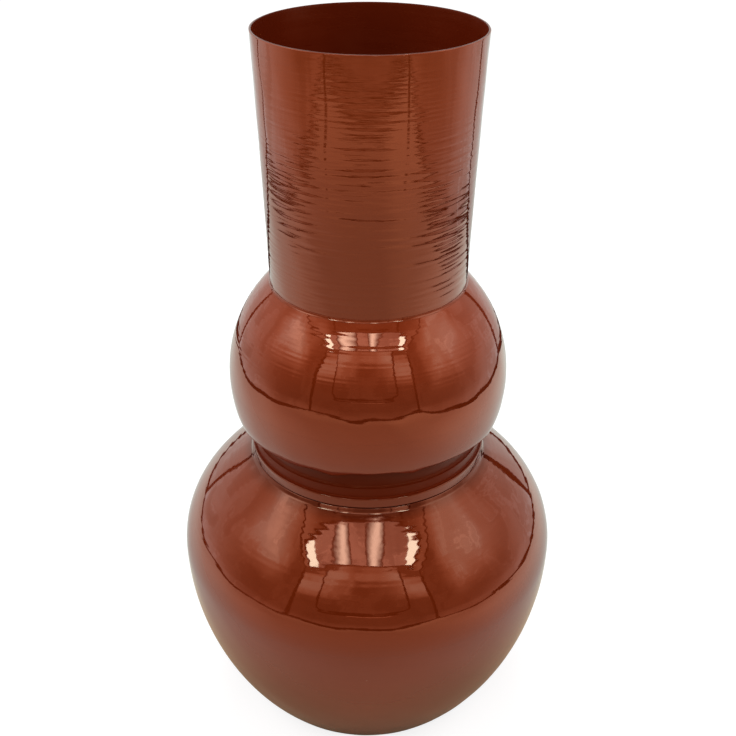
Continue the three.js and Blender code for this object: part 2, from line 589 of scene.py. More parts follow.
def dust_specks() -> NodeTree:
    """Dust caught in the lacquer: small spots at the centres of a few of many random cells.

    Returns:
        The group, which puts out a mask of the specks and a softer one round them.
    """
    effect = Effect("dust_specks", (("Cells", 95.0), ("Share", 0.035), ("Size", 0.055)),
                    (("Mask", "NodeSocketFloat"), ("Halo", "NodeSocketFloat")))
    tree, wires, start, end = effect.start()
    given = start.outputs
    cells = wires.node("ShaderNodeTexVoronoi", {"Vector": given["Place"], "Scale": given["Cells"]})
    pick = wires.node("ShaderNodeSeparateColor", {0: cells.outputs["Color"]})
    chosen = wires.math("LESS_THAN", pick.outputs[0], given["Share"])
    near = wires.math("DIVIDE", cells.outputs["Distance"], given["Size"])
    for output, outer, inner in (("Mask", 1.0, 0.4), ("Halo", 3.0, 1.0)):
        wires.link(wires.math("MULTIPLY", wires.ramp(near, outer, inner), chosen), end, output)
    return tree


def pooled_tone() -> NodeTree:
    """How thick the lacquer lies: broad soft clouds, with short streaks round the piece in them.

    Returns:
        The group, which puts out a mask.
    """
    effect = Effect("pooled_tone", (("Clouds", 28.0), ("Across", 40.0), ("Streaks", 420.0),
                                    ("Streak Share", 0.35)), (("Mask", "NodeSocketFloat"),))
    tree, wires, start, end = effect.start()
    given = start.outputs
    clouds = wires.noise(given["Place"], given["Clouds"], 3.0)
    streaks = wires.noise(wires.squeezed(given["Place"], given["Across"], given["Streaks"]), 1.0, 2.0)
    thickness = wires.math("MULTIPLY_ADD", streaks, given["Streak Share"], clouds)
    wires.link(wires.ramp(thickness, 0.5, 0.9), end, "Mask")
    return tree


@dataclass(frozen=True)
class Lacquer:
    """Rust-brown lacquer over spun metal, with ridges, orange peel and dust.

    The colour can be painted lighter or darker over a run of heights, as painted light and shade: it
    is multiplied by a shade, not at all at one height in millimetres and in full at another.
    """

    name: str
    effects: dict[str, NodeTree]
    colour: Triple = (0.132, 0.0140, 0.0020)
    thin: Triple = (0.148, 0.0165, 0.0030)
    dust: Triple = (0.42, 0.25, 0.19)
    bare: Triple = (0.33, 0.32, 0.31)
    roughness: float = 0.045
    specular: float = 0.87
    ior: float = 1.8
    tint: Triple = (1.0, 0.255, 0.13)
    streak_depth: float = 0.009
    streak_pitch: float = 2.2
    peel_depth: float = 0.014
    speck_depth: float = 0.02
    speck_share: float = 0.5
    gloss_run: Pair = (0.85, 1.3)
    wear_grain: float = 420.0
    wear_reach: float = 0.6
    wear_run: Pair = (0.05, -0.3)
    foot_wear: bool = False
    # shade and shade_run paint light or shade into the colour over a run of heights
    shade: Triple = (1.0, 1.0, 1.0)
    shade_run: Pair | None = None

    def material(self) -> Material:
        """Builds the material.

        Returns:
            The material.
        """
        made, wires = new_material(self.name)
        place = wires.place()
        tone = self._effect(wires, "pooled_tone", place)
        dust = self._effect(wires, "dust_specks", place)
        colour = wires.blend(tone.outputs[0], self.colour, self.thin)
        colour = wires.blend(wires.math("MULTIPLY", dust.outputs["Mask"], self.speck_share), colour,
                             self.dust)
        # Painted light and shade: the colour is multiplied by the shade between two heights
        if self.shade_run is not None:
            share = wires.run(wires.axes(place)[2], self.shade_run)
            colour = wires.blend(share, colour, self.shade, "MULTIPLY")
        smooth, rough = (self.roughness * share for share in self.gloss_run)
        shader = wires.node("ShaderNodeBsdfPrincipled", {
            "Roughness": wires.ramp(tone.outputs[0], 0.0, 1.0, smooth, rough),
            "Specular IOR Level": self.specular, "Specular Tint": (*self.tint, 1.0), "IOR": self.ior})
        if self.foot_wear:
            worn = self._worn(wires, place)
            colour = wires.blend(worn, colour, self.bare)
            wires.link(worn, shader, "Metallic")
        wires.link(colour, shader, "Base Color")
        wires.link(self._bumps(wires, place, dust), shader, "Normal")
        wires.surface(shader.outputs[0])
        return made

    def _effect(self, wires: Wiring, name: str, place: NodeSocket,
                values: dict[str, float] | None = None) -> Node:
        """Places one shared effect in the material, with its own values.

        Args:
            wires: The material's wiring.
            name: The effect's name.
            place: The place on the piece.
            values: Its values that differ from the usual ones.

        Returns:
            The effect's node.
        """
        made = wires.node("ShaderNodeGroup", node_tree=self.effects[name])
        wires.link(place, made, "Place")
        for key, value in (values or {}).items():
            made.inputs[key].default_value = value
        return made

    def _bumps(self, wires: Wiring, place: NodeSocket, dust: Node) -> NodeSocket:
        """The normal after orange peel, dust and the tool's ridges.

        Args:
            wires: The material's wiring.
            place: The place on the piece.
            dust: The dust effect's node.

        Returns:
            The normal.
        """
        peel = self._effect(wires, "orange_peel", place)
        streaks = self._effect(wires, "spun_streaks", place, {"Upward": 1.0 / (self.streak_pitch * MM)})
        pebbled = wires.bump(peel.outputs[0], self.peel_depth)
        specked = wires.bump(dust.outputs["Halo"], self.speck_depth, Normal=pebbled)
        return wires.bump(streaks.outputs[0], self.streak_depth, Normal=specked)

    def _worn(self, wires: Wiring, place: NodeSocket) -> NodeSocket:
        """Where the foot has rubbed bare: low down, with a ragged upper edge.

        Args:
            wires: The material's wiring.
            place: The place on the piece.

        Returns:
            The mask of the bare metal.
        """
        ragged = wires.noise(place, self.wear_grain, 3.0)
        level = wires.math("MULTIPLY_ADD", ragged, -self.wear_reach * MM, wires.axes(place)[2])
        return wires.run(level, self.wear_run)


@dataclass(frozen=True)
class Overspray:
    """The thin half-gloss coat inside and underneath, patchy over dull zinc."""

    name: str
    colour: Triple = (0.10, 0.018, 0.007)
    zinc: Triple = (0.19, 0.165, 0.15)
    roughness: float = 0.38
    gloss_run: Pair = (0.8, 1.25)
    mottle_grain: float = 55.0
    mottle_depth: float = 0.05
    mist_grain: float = 900.0
    mist_share: float = 0.3
    bare_run: Pair = (0.66, 0.86)

    def material(self) -> Material:
        """Builds the material.

        Returns:
            The material.
        """
        made, wires = new_material(self.name)
        place = wires.place()
        mottle = wires.noise(place, self.mottle_grain, 5.0, Roughness=0.65)
        mist = wires.noise(place, self.mist_grain, 2.0)
        bare = wires.ramp(wires.math("MULTIPLY_ADD", mist, self.mist_share, mottle), *self.bare_run)
        smooth, rough = (self.roughness * share for share in self.gloss_run)
        shader = wires.node("ShaderNodeBsdfPrincipled", {
            "Base Color": wires.blend(bare, self.colour, self.zinc),
            "Roughness": wires.ramp(mottle, 0.3, 0.7, smooth, rough),
            "Normal": wires.bump(mottle, self.mottle_depth)})
        wires.surface(shader.outputs[0])
        return made


class Finishes:
    """Every finish on the vase, built once."""

    def __init__(self) -> None:
        """Builds the shared effects and the materials that use them."""
        trees = (spun_streaks(), orange_peel(), dust_specks(), pooled_tone())
        effects = {tree.name: tree for tree in trees}
        dull = (1.0, 0.51, 0.28)
        # The neck is painted darker low down by the ball and about twice as light towards the rim: painted
        # shade below, painted light at the top
        self.neck = Lacquer("lacquer_spun_neck", effects, colour=(0.093, 0.0112, 0.0024),
                            thin=(0.103, 0.0134, 0.0034), streak_depth=0.016, streak_pitch=0.5,
                            peel_depth=0.006, shade=(2.0, 2.2, 1.7), shade_run=(225.0, 288.0)).material()
        self.smooth = Lacquer("lacquer_smooth", effects).material()
        # The ball's upper part is painted about a quarter lighter above its middle: painted light from above
        self.crown = Lacquer("lacquer_ball_crown", effects, shade=(1.25, 1.25, 1.3),
                             shade_run=(176.0, 191.0)).material()
        self.collar = Lacquer("lacquer_collar_band", effects, colour=(0.092, 0.0095, 0.0015),
                              thin=(0.102, 0.0115, 0.0021), specular=0.7).material()
        self.foot = Lacquer("lacquer_worn_foot", effects, foot_wear=True, specular=0.78).material()
        # The shoulder is painted much darker just under the collar: painted shade beneath the collar and the
        # ball's overhang
        self.shoulder = Lacquer("lacquer_shoulder_painted_shade", effects, specular=0.78, shade=(0.4, 0.3, 0.3),
                                shade_run=(120.5, 125.0)).material()
        self.recess = Lacquer("lacquer_dry_recess", effects, colour=(0.118, 0.0105, 0.0014),
                              thin=(0.128, 0.012, 0.002), roughness=0.5, specular=0.25, ior=1.5,
                              tint=dull).material()
        self.within = Lacquer("lacquer_deep_inside", effects, colour=(0.084, 0.0075, 0.0012),
                              thin=(0.094, 0.009, 0.0018), roughness=0.3, specular=0.35, ior=1.5,
                              tint=dull).material()
        self.inside = Overspray("overspray_inside").material()


# The vase


@dataclass
class Neck:
    """The flared neck and the fillet at its foot."""

    foot_radius: float = 39.3
    rim_radius: float = 42.4
    hollow: float = 0.2
    crease: float = 203.71
    rim: float = 300.0
    rim_round: float = 0.3
    tail: float = 5.5
    rows: int = 330
    fillet: float = 1.5
    fillet_root: tuple[Pair, ...] = ((0.1, -0.9), (-0.4, 0.0))
    fillet_lap: float = 0.35
    fillet_tuck: float = 0.999

    def face(self, rows: int) -> Path:
        """The outer face from the crease up to the rim's round: a shallow quadratic curve.

        Args:
            rows: How many points.

        Returns:
            The points of the face.
        """
        edge = self.rim - self.rim_round
        middle = ((self.foot_radius + self.rim_radius) / 2 - 2 * self.hollow, (self.crease + edge) / 2)
        return curve([(self.foot_radius, self.crease), middle, (self.rim_radius, edge)], rows)

    def build(self, finishes: Finishes, ball: "Ball") -> None:
        """Builds the tube and its fillet.

        Args:
            finishes: The vase's finishes.
            ball: The ball that the neck stands in.
        """
        foot, edge = self.crease - self.tail, self.rim - self.rim_round
        bore = self.foot_radius - SHEET
        outer = joined(line((self.foot_radius, foot), (self.foot_radius, self.crease), 6),
                       self.face(self.rows),
                       arc((self.rim_radius - self.rim_round, edge), self.rim_round, 0, 90, 6))
        round_in = arc((self.rim_radius - SHEET + self.rim_round, edge), self.rim_round, 90, 180, 6)
        inner = self.face(80)[::-1] - [SHEET, 0.0]
        outline = joined(outer, round_in, inner, line((bore, self.crease), (bore, foot), 4))
        TurnedPiece("neck_cone_spun", ((outer, Coat.OUTER), (outline[len(outer):], Coat.INNER)),
                    Slot.LACQUER, ("neck_cone",), columns=224,
                    relief=(NECK_RIDGES, SHEET_WAVER)).build(finishes.neck, finishes.within)
        self._fillet(finishes, ball)

    def _fillet(self, finishes: Finishes, ball: "Ball") -> None:
        """The lacquered solder at the neck's foot: a hollow round that is tangent to neck and ball.

        Args:
            finishes: The vase's finishes.
            ball: The ball that the neck stands in.
        """
        out = self.foot_radius + self.fillet
        up = math.sqrt((ball.radius + self.fillet) ** 2 - out ** 2)
        slope = math.degrees(math.atan2(up, out))
        hollow = arc((out, ball.centre + up), self.fillet, 180.0, 180.0 + slope, 14)
        root = np.array(self.fillet_root) + [self.foot_radius, self.crease]
        outline = np.vstack([hollow, hollow[-1:] * self.fillet_tuck, root,
                             hollow[:1] - [self.fillet_lap, 0.0]])
        TurnedPiece("neck_foot_fillet", ((outline, Coat.OUTER),), Slot.LACQUER,
                    ("neck_foot_solder",)).build(finishes.smooth)


@dataclass
class Ball:
    """The ball: two half shells and the bead that joins them inside.

    The edge's drops are pairs of an angle from the front, in degrees, and how far the lower edge
    hangs down there.
    """

    radius: float = 57.6
    centre: float = 161.6
    cut_depth: float = 14.6
    edge_bend: float = 0.8
    edge_floor: float = 3.0
    edge_fade: float = 9.0
    neck_hole: float = 39.6
    throat_radius: float = 47.2
    throat_gap: float = 1.5
    throat_fade: float = 4.0
    throat_root: float = 1.6
    throat_end: float = 121.6
    lap: float = 5.0
    lap_step: Pair = (1.0, 1.0)
    seam: float = 0.01
    seam_turn: float = 0.06
    bead_gap: float = 0.2
    crown_rows: int = 200
    edge_drops: tuple[Pair, ...] = (
        (-90.0, 1.6), (-62.0, 3.4), (-46.0, 1.9), (-32.5, 2.5), (-22.0, 1.5), (-14.3, 3.1),
        (-6.0, 0.9), (10.0, 0.4), (18.4, 2.2), (23.0, 0.8), (34.0, 0.4), (50.0, 1.2),
        (62.0, 3.2), (84.0, 1.4), (101.0, 2.3), (128.0, 0.9), (147.0, 2.8), (171.0, 1.3),
        (196.0, 2.1), (214.0, 0.8), (239.0, 2.6), (255.0, 1.2), (270.0, 1.6))

    @property
    def underside(self) -> float:
        """The height of the turned-in lower edge."""
        return self.centre - self.cut_depth

    def waver_edge(self, radius: Grid, height: Grid, angle: Grid) -> tuple[Grid, Grid]:
        """Lowers the edge by what hand work left at each angle from the front.

        The drop runs straight from one angle of edge_drops to the next. It fades out above the edge
        and over the bottom towards the throat, and the radius follows the sphere.

        Args:
            radius: The radii of the grid.
            height: The heights of the grid.
            angle: The angles of the grid, in radians.

        Returns:
            The new radii and heights.
        """
        turned, drops = np.array(self.edge_drops).T
        from_front = np.mod(np.degrees(angle) + 180.0, 360.0) - 90.0
        drop = np.interp(from_front, turned, drops)
        fade = np.clip(1.0 - (height - self.underside) / self.edge_fade, 0.0, 1.0) ** 1.5
        fade *= np.clip((radius - self.throat_radius - self.throat_gap) / self.throat_fade, 0.0, 1.0)
        lowered = height - drop * fade
        return radius + (self._sphere(lowered) - self._sphere(height)) * fade, lowered

    def _sphere(self, height: Grid) -> Grid:
        """The ball's radius at each height, nought above and below it."""
        return np.sqrt(np.maximum(self.radius ** 2 - (self.centre - height) ** 2, 0.0))

    def build(self, finishes: Finishes) -> None:
        """Builds both shells and the inner bead.

        Args:
            finishes: The vase's finishes.
        """
        hole = math.degrees(math.acos(self.neck_hole / self.radius))
        upper = joined(arc((0, self.centre), self.radius, hole, self.seam_turn, self.crown_rows),
                       [(self.radius, self.centre + self.seam * 2), (self.radius, self.centre + self.seam)])
        under = offset(upper, SHEET)[::-1]
        under = np.vstack([under[:1], under[3:-1:3], under[-1:]])
        TurnedPiece("bulb_upper_spun", ((upper, Coat.OUTER), (under, Coat.INNER)), Slot.LACQUER,
                    ("bulb_upper_shell",),
                    relief=(SHEET_WAVER, BALL_RINGS)).build(finishes.crown, finishes.within)
        self._lower(finishes)

    def _lower(self, finishes: Finishes) -> None:
        """The lower shell: sphere, turned edge, flat underside and throat, with a lip for the lap.

        Args:
            finishes: The vase's finishes.
        """
        cut = -math.degrees(math.asin((self.cut_depth - self.edge_bend) / self.radius))
        side = arc((0, self.centre), self.radius, -self.seam_turn, cut, 60)
        edge_r = math.sqrt(self.radius ** 2 - self.cut_depth ** 2)
        corner, end = (edge_r, self.underside), (self.throat_radius, self.throat_end)
        edge = rounded(side[-1], corner, (edge_r - self.edge_floor, self.underside), self.edge_bend)
        root = rounded(corner, (self.throat_radius, self.underside), end, self.throat_root)
        lip, lip_top = self.radius - SHEET - LAP_GAP, self.centre + self.lap
        nested = [(lip, lip_top), (lip, self.centre - LAP_GAP)]
        shell = joined([(self.radius, self.centre - self.seam)], side, edge)
        throat = joined(line(edge[-1], root[0], 8)[1:], root, line(root[-1], end, 10))
        inner = offset(np.vstack([shell[1:], throat]), SHEET)[::-1]
        step_in, step_down = self.lap_step
        inner = joined(inner[::3], [(self.radius - SHEET - step_in, self.centre - step_down),
                                    (lip - SHEET, lip_top)])
        stretches = ((nested, Coat.INNER), (shell, Coat.OUTER), (throat, Coat.RECESS), (inner, Coat.INNER))
        TurnedPiece("bulb_lower_spun", stretches, Slot.LACQUER, ("bulb_lower_shell",),
                    relief=(SHEET_WAVER, BALL_RINGS), reshape=self.waver_edge).build(
            finishes.smooth, finishes.within, finishes.recess)
        wall = math.sqrt((self.radius - SHEET) ** 2 - (self.lap + LAP_GAP) ** 2) - self.bead_gap
        seam_bead("bulb_seam_bead", wall, lip_top + LAP_GAP, "bulb_seam_solder", finishes.inside)


@dataclass
class Waist:
    """The stepped collar round the throat and the beads that hold it."""

    throat_radius: float = 47.2
    sleeve_radius: float = 48.5
    band_radius: float = 49.8
    sleeve_top: float = 134.4
    band_top: float = 130.1
    band_foot: float = 126.1
    band_round: float = 0.6
    cove_round: float = 0.3
    edge_round: float = 0.25
    flat_gap: float = 0.05
    shoulder_top: float = 125.8
    top_bead: float = 1.1
    throat_bead: float = 1.4
    bead_lap: float = 0.1

    def build(self, finishes: Finishes) -> None:
        """Builds the collar and its two beads.

        Args:
            finishes: The vase's finishes.
        """
        rim, cove = (self.sleeve_radius, self.sleeve_top), (self.sleeve_radius, self.band_top)
        ledge, hem = (self.band_radius, self.band_top), (self.band_radius, self.band_foot)
        sleeve_head = self.sleeve_top - self.edge_round - self.flat_gap
        sleeve_foot = self.band_top + self.cove_round + self.flat_gap
        band_head = self.band_top - self.band_round - self.flat_gap
        band_tail = self.band_foot + self.edge_round + self.flat_gap
        recessed = joined(rounded((self.throat_radius, self.sleeve_top), rim, cove, self.edge_round),
                          line((self.sleeve_radius, sleeve_head), (self.sleeve_radius, sleeve_foot), 10),
                          rounded(rim, cove, ledge, self.cove_round))
        outer = joined(rounded(cove, ledge, hem, self.band_round, 10),
                       line((self.band_radius, band_head), (self.band_radius, band_tail), 10),
                       rounded(ledge, hem, (self.sleeve_radius, self.band_foot), self.edge_round))
        sleeve_in, band_in = self.sleeve_radius - SHEET, self.band_radius - SHEET
        ceiling = self.band_top - SHEET
        inner = [(band_in, self.band_foot), (band_in, ceiling), (sleeve_in, ceiling),
                 (sleeve_in, self.sleeve_top)]
        stretches = ((recessed, Coat.RECESS), (outer, Coat.OUTER), (inner, Coat.INNER))
        TurnedPiece("waist_collar_turned", stretches, Slot.LACQUER, ("waist_collar",)).build(
            finishes.collar, finishes.inside, finishes.recess)
        wall, foot = self.throat_radius - self.bead_lap, self.sleeve_top - self.bead_lap
        solder_ring("collar_top_bead", (wall, foot), (wall, self.sleeve_top + self.top_bead),
                    (self.sleeve_radius - self.bead_lap, foot), Slot.LACQUER, "collar_top_solder",
                    finishes.recess)
        wall, under = self.throat_radius + LAP_GAP, self.shoulder_top - SHEET - LAP_GAP
        solder_ring("throat_bead", (wall, under), (wall, under - self.throat_bead),
                    (wall + self.throat_bead, under), Slot.INSIDE, "throat_solder", finishes.inside)


@dataclass
class Body:
    """The body: shoulder shell, bowl shell and the bead inside their seam."""

    radius: float = 82.3
    equator: float = 77.1
    collar_radius: float = 49.8
    flange_radius: float = 48.5
    flange_top: float = 128.8
    flange_foot: float = 0.2
    flange_step: float = 0.1
    shoulder_top: float = 125.8
    shoulder_slope: float = 50.0
    top_reach: float = 12.6
    side_reach: float = 26.0
    lip_round: float = 0.35
    lip_reach: float = 0.45
    dip: Pair = (50.7, 124.2)
    dip_round: float = 0.5
    dip_reach: float = 0.55
    ledge_slope: float = 38.5
    ledge_share: float = 0.235
    foot_radius: float = 55.9
    foot_bend: float = 2.4
    ring_width: float = 7.5
    lap: float = 5.0
    lap_gap: float = 0.5
    lap_step: Pair = (0.6, 1.5)
    seam: float = 0.01
    seam_turn: float = 0.02
    bead_gap: float = 0.7

    def build(self, finishes: Finishes) -> None:
        """Builds both shells and the inner bead.

        Args:
            finishes: The vase's finishes.
        """
        root, sweep = (self.collar_radius, self.shoulder_top), self._shoulder()
        lip = rounded((self.flange_radius, self.shoulder_top), root, self.dip, self.lip_round, 6)
        outer = joined(lip, beyond(sweep, self.lip_reach)[:-1],
                       [(self.radius, self.equator + self.seam * 3), (self.radius, self.equator + self.seam)])
        flange = joined(line((self.flange_radius, self.flange_top),
                             (self.flange_radius, self.shoulder_top + self.flange_foot), 4),
                        [(self.flange_radius + self.flange_step, self.shoulder_top)])
        flange_in = self.flange_radius - SHEET
        inner = joined([(self.radius - SHEET, self.equator + self.seam)],
                       offset(sweep[:-1:3], SHEET)[::-1],
                       [(flange_in, self.shoulder_top - SHEET), (flange_in, self.flange_top)])
        TurnedPiece("body_shoulder_spun", ((flange, Coat.INNER), (outer, Coat.OUTER), (inner, Coat.INNER)),
                    Slot.LACQUER, ("body_shoulder_shell",),
                    relief=(SHEET_WAVER, BODY_RINGS)).build(finishes.shoulder, finishes.inside)
        self._bowl(finishes)
        seam_bead("body_seam_bead", self.radius - SHEET - self.bead_gap,
                  self.equator + self.lap + LAP_GAP, "body_seam_solder", finishes.inside)

    def _shoulder(self, rows: int = 230) -> Path:
        """The shoulder's outer face, from the collar down to the widest ring.

        The sweep is a cubic curve that leaves the root at the shoulder's slope. Close to the collar
        the sheet dips first and then runs out a little flatter, until it meets that curve.

        Args:
            rows: How many points the sweep has.

        Returns:
            The points of the face.
        """
        root, start = np.array([self.collar_radius, self.shoulder_top]), np.array(self.dip)
        reach = root + self.top_reach * downhill(self.shoulder_slope)
        sweep = curve([root, reach, (self.radius, self.equator + self.side_reach),
                       (self.radius, self.equator)], rows)
        first = int(self.ledge_share * rows)
        meet, after = sweep[first:first + 2]
        along = (after - meet) / np.linalg.norm(after - meet)
        third = np.linalg.norm(meet - start) / 3
        ledge = curve([start, start + third * downhill(self.ledge_slope), meet - third * along, meet], 36)
        turn = rounded(root, start, ledge[6], self.dip_round, 6)
        return joined([root], turn, beyond(ledge, self.dip_reach), sweep[first + 1:])

    def _bowl(self, finishes: Finishes) -> None:
        """The bowl: a circular arc from the widest ring down to the rounded foot and its flat ring.

        Args:
            finishes: The vase's finishes.
        """
        draw_in = self.radius - self.foot_radius
        bowl = (draw_in ** 2 + self.equator ** 2) / (2 * draw_in)
        foot_angle = -math.degrees(math.asin((self.equator - self.foot_bend) / bowl))
        side = arc((self.radius - bowl, self.equator), bowl, -self.seam_turn, foot_angle, 190)
        ring_end = (self.foot_radius - self.foot_bend - self.ring_width, 0.0)
        bend = rounded(side[-1], (self.foot_radius, 0.0), ring_end, self.foot_bend, 12)
        lip, lip_top = self.radius - SHEET - self.lap_gap, self.equator + self.lap
        nested = [(lip, lip_top), (lip, self.equator - LAP_GAP)]
        outer = joined([(self.radius, self.equator - self.seam)], side, bend, line(bend[-1], ring_end, 8))
        inner = offset(outer[1:], SHEET)[::-1]
        step_in, step_down = self.lap_step
        inner = joined(inner[::4], [(self.radius - SHEET - step_in, self.equator - step_down),
                                    (lip - SHEET, lip_top)])
        TurnedPiece("body_bowl_spun", ((nested, Coat.INNER), (outer, Coat.OUTER), (inner, Coat.INNER)),
                    Slot.LACQUER, ("body_bowl_shell",),
                    relief=(SHEET_WAVER, BODY_RINGS)).build(finishes.foot, finishes.inside)


@dataclass
class Base:
    """The disc that closes the foot from inside, and the bead round it."""

    disc_radius: float = 51.0
    disc_foot: float = 1.3
    bead: float = 1.9
    bead_gap: float = 0.1

    def build(self, finishes: Finishes) -> None:
        """Builds the disc and its bead.

        Args:
            finishes: The vase's finishes.
        """
        top = self.disc_foot + SHEET
        below = line((0.0, self.disc_foot), (self.disc_radius, self.disc_foot), 24)
        above = line((self.disc_radius, top), (0.0, top), 24)
        TurnedPiece("base_disc_cut", ((below, Coat.OUTER), (above, Coat.OUTER)), Slot.INSIDE,
                    ("base_disc",), columns=128).build(finishes.inside)
        wall = self.disc_radius + self.bead_gap
        solder_ring("base_bead", (wall, self.disc_foot), (wall, top), (wall + self.bead, self.disc_foot),
                    Slot.INSIDE, "base_solder", finishes.inside)


def solder_ring(name: str, corner: Pair, first: Pair, second: Pair, slot: Slot, node: str,
                finish: Material) -> None:
    """A bead of solder in a corner, with a hollow face between the ends of its two legs.

    Args:
        name: The piece's name.
        corner: The corner that the bead fills.
        first: The end of one leg.
        second: The end of the other leg.
        slot: The record's slot, which is not used.
        node: The CAD node that the bead stands for.
        finish: The bead's material.
    """
    middle = (np.array(first) + np.array(second)) / 2
    hollow = (np.array(corner) + middle) / 2
    outline = np.vstack([[corner], curve([first, hollow, second], 9)])
    TurnedPiece(name, ((outline, Coat.OUTER),), slot, (node,), columns=192).build(finish)


def seam_bead(name: str, wall: float, foot: float, node: str, finish: Material) -> None:
    """The bead of solder over the lap of two half shells, leaning in a little as the wall does.

    Args:
        name: The piece's name.
        wall: The radius of the wall that it lies against.
        foot: The height of the lip that it stands on.
        node: The CAD node that the bead stands for.
        finish: The bead's material.
    """
    solder_ring(name, (wall, foot), (wall - BEAD_LEAN, foot + BEAD_RISE), (wall - BEAD_WIDTH, foot),
                Slot.INSIDE, node, finish)


# The studio

WARM_WHITE = (1.0, 1.0, 0.88)
FLOOR_WHITE = (0.79, 1.0, 0.9)
# Near the foot the floor that reflections see is painted warm and brown: painted bounce light from the red
# vase
FLOOR_WARM = (0.96, 1.0, 0.72)
OPEN_FLOOR = (0.38, 0.38, 0.38)
FOOT_BOUNCE_TINT = (0.50, 0.38, 0.25)
COOL_WHITE = (0.6, 1.0, 1.2)
TRAY_WHITE = (0.7, 1.0, 1.2)
SOFT_LAMP = (0.44, 1.0, 1.35)
BRIGHT_LAMP = (0.34, 1.0, 1.4)


@dataclass(frozen=True)
class Glow:
    """Lit white cloth or a lamp, as the vase's gloss shows it.

    The emission is a plain level, plus a rise towards the back, the sides and the foot, plus a
    bright patch that starts at one height, is full at another and fades again above that. Creases
    take some of it away or add to it, and leave thin pale lines. The more light there is on the
    cloth, the cooler it is. A soft lamp fades from its middle to its sides instead. All places are
    in millimetres.
    """

    name: str
    level: float
    back_rise: float = 0.0
    back_run: Pair = (-300.0, 200.0)
    foot_rise: float = 0.0
    foot_run: Pair = (115.0, 30.0)
    beside_rise: float = 0.0
    beside_run: Pair = (360.0, 620.0)
    beside_up: Pair = (0.0, 1.0)
    patch: float = 0.0
    patch_up: Pair = (240.0, 570.0)
    patch_top: Pair = (580.0, 780.0)
    patch_left: float = 0.35
    patch_front: Pair = (-530.0, -250.0)
    patch_back: Pair = (110.0, -110.0)
    creases: float = 0.0
    middle: float = 0.0
    soft_half: float = 0.0
    colour: Triple = WARM_WHITE
    lit: Triple = COOL_WHITE
    lit_run: Pair = (0.2, 2.6)
    fold_scale: float = 4.5
    fold_run: Pair = (0.32, 0.7)
    line_half: float = 0.02
    line_share: float = 1.6

    def material(self) -> Material:
        """Builds the material.

        Returns:
            The material.
        """
        made, wires = new_material(self.name)
        emission = wires.node("ShaderNodeEmission", {"Color": (*self.colour, 1.0), "Strength": self.level})
        place = wires.place()
        if self.soft_half:
            beside = wires.math("SUBTRACT", wires.axes(place)[0], self.middle * MM)
            soft = wires.run(wires.math("ABSOLUTE", beside), (self.soft_half, 0.0), 0.0, self.level)
            wires.link(soft, emission, "Strength")
        elif self.creases:
            strength = self._cloth(wires, place)
            colour = wires.blend(wires.ramp(strength, *self.lit_run), self.colour, self.lit)
            wires.link(strength, emission, "Strength")
            wires.link(colour, emission, "Color")
        made.cycles.emission_sampling = "NONE"
        wires.surface(emission.outputs[0])
        return made

    def _cloth(self, wires: Wiring, place: NodeSocket) -> NodeSocket:
        """The emission of creased cloth over its height and depth.

        Args:
            wires: The material's wiring.
            place: The place on the cloth.

        Returns:
            The strength of the emission.
        """
        x, y, z = wires.axes(place)
        rise = wires.run(y, self.back_run, self.level, self.level + self.back_rise)
        beside = wires.run(wires.math("ABSOLUTE", x), self.beside_run, 0.0, self.beside_rise)
        beside = wires.math("MULTIPLY", beside, wires.run(z, self.beside_up))
        foot = wires.run(z, self.foot_run, 0.0, self.foot_rise)
        rise = wires.math("ADD", wires.math("ADD", rise, beside), foot)
        upward = wires.math("MULTIPLY", wires.run(z, self.patch_up, 0.0, self.patch),
                            wires.run(z, self.patch_top, 1.0, self.patch_left))
        inward = wires.math("MULTIPLY", wires.run(y, self.patch_front), wires.run(y, self.patch_back))
        light = wires.math("ADD", rise, wires.math("MULTIPLY", upward, inward))
        crease = wires.noise(place, self.fold_scale, 3.0, Distortion=1.0)
        folds = wires.ramp(crease, *self.fold_run, 1.0 - self.creases, 1.0 + self.creases)
        off_line = wires.math("ABSOLUTE", wires.math("SUBTRACT", crease, 0.5))
        lines = wires.ramp(off_line, 0.0, self.line_half, self.creases * self.line_share, 0.0)
        return wires.math("MULTIPLY", light, wires.math("ADD", folds, lines))


